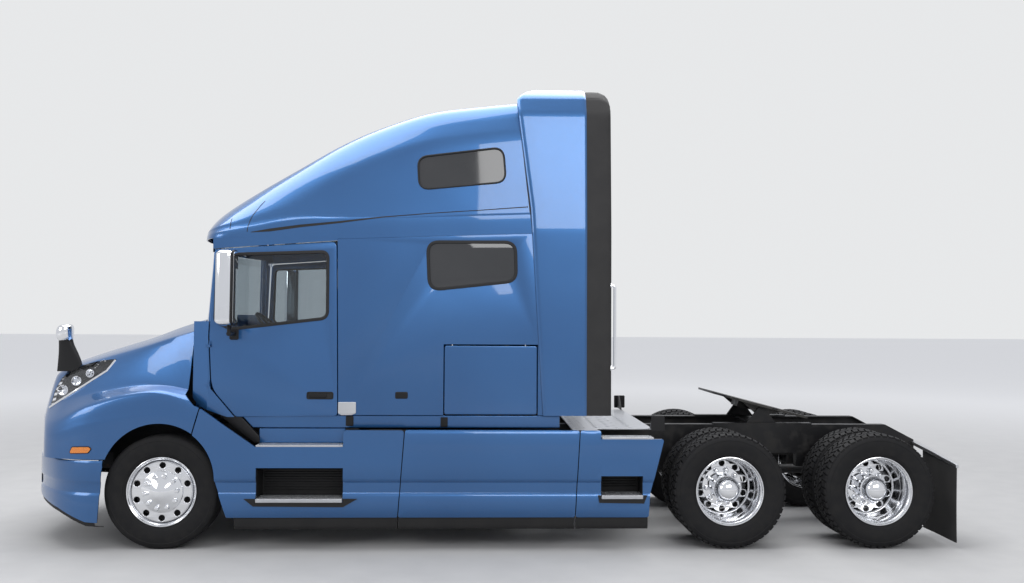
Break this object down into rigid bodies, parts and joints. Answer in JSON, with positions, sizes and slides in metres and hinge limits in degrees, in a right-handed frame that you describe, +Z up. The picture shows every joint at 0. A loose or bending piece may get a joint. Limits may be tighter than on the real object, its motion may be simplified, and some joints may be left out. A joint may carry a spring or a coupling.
{
  "type": "semi truck tractor unit",
  "caption": "Bonneted road tractor with high roof sleeper cab, steered front axle, twin-wheeled drive axles and a tilting fifth wheel for coupling a semi-trailer.",
  "frame": {"origin": "on the ground, at the middle of the overall length and width", "axes": "+X towards the rear, +Y to the truck's right, +Z up"},
  "size_m": [8.294, 2.88, 4.1119],
  "materials": {
    "body_paint": "metallic gloss",
    "black_plastic": "satin",
    "frame_black": "satin",
    "axle_iron": "painted black",
    "air_spring_rubber": "matt",
    "extender_rubber": "ribbed, matt",
    "flap_rubber": "matt",
    "tyre_rubber": "matt",
    "wheel_aluminium": "polished",
    "tank_aluminium": "satin",
    "tread_aluminium": "chequered, bright",
    "polished_steel": "polished",
    "mirror_chrome": "polished",
    "fifth_wheel_iron": "greased black",
    "grille_black": "gloss",
    "lamp_glass": "clear gloss",
    "tinted_glass": "tinted",
    "dash_plastic": "grained",
    "seat_fabric": "woven"
  },
  "bodies": {
    "chassis": {"air_springs": "air_spring_rubber", "axles": "axle_iron", "black_panels": "black_plastic", "bright_bars": "polished_steel", "bumper": "body_paint", "bumper_grille": "grille_black", "cab_floor": "black_plastic", "cab_front": "body_paint", "cab_glass": "tinted_glass", "crossmembers": "frame_black", "dashboard": "dash_plastic", "deck_plate": "tread_aluminium", "engine": "axle_iron", "extenders": "extender_rubber", "fifth_wheel_base": "frame_black", "frame_brackets": "frame_black", "frame_rails": "frame_black", "fuel_tanks": "tank_aluminium", "mud_flaps": "flap_rubber", "radiator": "tank_aluminium", "rear_hoop": "body_paint", "rear_wall": "body_paint", "roof": "body_paint", "seats_and_bunk": "seat_fabric", "side_fairings": "body_paint", "side_walls": "body_paint", "springs_and_arms": "frame_black", "steering_wheel": "dash_plastic", "step_boxes": "black_plastic", "step_treads": "tread_aluminium", "tail_lamps": "lamp_glass"},
    "tilting_bonnet": {"bonnet": "body_paint", "grille": "grille_black", "headlamps": "lamp_glass", "bonnet_mirror": "black_plastic"},
    "tie_rod_body": {"tie_rod": "axle_iron"},
    "fifth_wheel": {"fifth_wheel_plate": "fifth_wheel_iron"},
    "left_cab_door": {"left_door": "body_paint", "left_door_glass": "tinted_glass", "left_mirror_and_handle": "mirror_chrome"},
    "left_side_locker": {"left_luggage_door": "body_paint"},
    "left_knuckle": {"left_steering_knuckle": "axle_iron"},
    "left_front_wheel": {"left_steer_tyre": "tyre_rubber", "left_steer_wheel": "wheel_aluminium"},
    "front_left_twin_wheels": {"front_left_drive_tyres": "tyre_rubber", "front_left_drive_wheels": "wheel_aluminium"},
    "rear_left_twin_wheels": {"rear_left_drive_tyres": "tyre_rubber", "rear_left_drive_wheels": "wheel_aluminium"},
    "right_cab_door": {"right_door": "body_paint", "right_door_glass": "tinted_glass", "right_mirror_and_handle": "mirror_chrome"},
    "right_side_locker": {"right_luggage_door": "body_paint"},
    "right_knuckle": {"right_steering_knuckle": "axle_iron"},
    "right_front_wheel": {"right_steer_tyre": "tyre_rubber", "right_steer_wheel": "wheel_aluminium"},
    "front_right_twin_wheels": {"front_right_drive_tyres": "tyre_rubber", "front_right_drive_wheels": "wheel_aluminium"},
    "rear_right_twin_wheels": {"rear_right_drive_tyres": "tyre_rubber", "rear_right_drive_wheels": "wheel_aluminium"}
  },
  "joints": [
    {"name": "bonnet_tilt", "type": "hinge", "parent": "chassis", "child": "tilting_bonnet", "pos_m": [-4.087, 0, 0.56], "axis": [0, -1, 0], "range_deg": [0, 60]},
    {"name": "fifth_wheel_tilt", "type": "hinge", "parent": "chassis", "child": "fifth_wheel", "pos_m": [2.644, 0, 1.13], "axis": [0, -1, 0], "range_deg": [0, 26]},
    {"name": "tie_rod_swing", "type": "hinge", "parent": "left_knuckle", "child": "tie_rod_body", "pos_m": [-2.582, -0.86, 0.357], "axis": [0, 0, 1], "range_deg": [-40, 40]},
    {"name": "left_door_swing", "type": "hinge", "parent": "chassis", "child": "left_cab_door", "pos_m": [-2.427, -1.133, 1.6], "axis": [0, 0, -1], "range_deg": [0, 70]},
    {"name": "left_locker_lift", "type": "hinge", "parent": "chassis", "child": "left_side_locker", "pos_m": [0.018, -1.108, 1.745], "axis": [-1, 0, 0], "range_deg": [0, 80]},
    {"name": "left_steer", "type": "hinge", "parent": "chassis", "child": "left_knuckle", "pos_m": [-2.812, -0.86, 0.488], "axis": [0, 0, 1], "range_deg": [-40, 40]},
    {"name": "left_front_wheel_spin", "type": "hinge", "parent": "left_knuckle", "child": "left_front_wheel", "pos_m": [-2.812, -1.032, 0.488], "axis": [0, 1, 0], "continuous": true},
    {"name": "front_left_twin_spin", "type": "hinge", "parent": "chassis", "child": "front_left_twin_wheels", "pos_m": [2.114, -0.9085, 0.5], "axis": [0, 1, 0], "continuous": true},
    {"name": "rear_left_twin_spin", "type": "hinge", "parent": "chassis", "child": "rear_left_twin_wheels", "pos_m": [3.4348, -0.9085, 0.5], "axis": [0, 1, 0], "continuous": true},
    {"name": "right_door_swing", "type": "hinge", "parent": "chassis", "child": "right_cab_door", "pos_m": [-2.427, 1.133, 1.6], "axis": [0, 0, 1], "range_deg": [0, 70]},
    {"name": "right_locker_lift", "type": "hinge", "parent": "chassis", "child": "right_side_locker", "pos_m": [0.018, 1.108, 1.745], "axis": [1, 0, 0], "range_deg": [0, 80]},
    {"name": "right_steer", "type": "hinge", "parent": "chassis", "child": "right_knuckle", "pos_m": [-2.812, 0.86, 0.488], "axis": [0, 0, 1], "range_deg": [-40, 40]},
    {"name": "right_front_wheel_spin", "type": "hinge", "parent": "right_knuckle", "child": "right_front_wheel", "pos_m": [-2.812, 1.032, 0.488], "axis": [0, 1, 0], "continuous": true},
    {"name": "front_right_twin_spin", "type": "hinge", "parent": "chassis", "child": "front_right_twin_wheels", "pos_m": [2.114, 0.9085, 0.5], "axis": [0, 1, 0], "continuous": true},
    {"name": "rear_right_twin_spin", "type": "hinge", "parent": "chassis", "child": "rear_right_twin_wheels", "pos_m": [3.4348, 0.9085, 0.5], "axis": [0, 1, 0], "continuous": true}
  ],
  "couplings": [
    {"joint": "right_steer", "follows": "left_steer", "ratio": 1},
    {"joint": "tie_rod_swing", "follows": "left_steer", "ratio": -1}
  ]
}
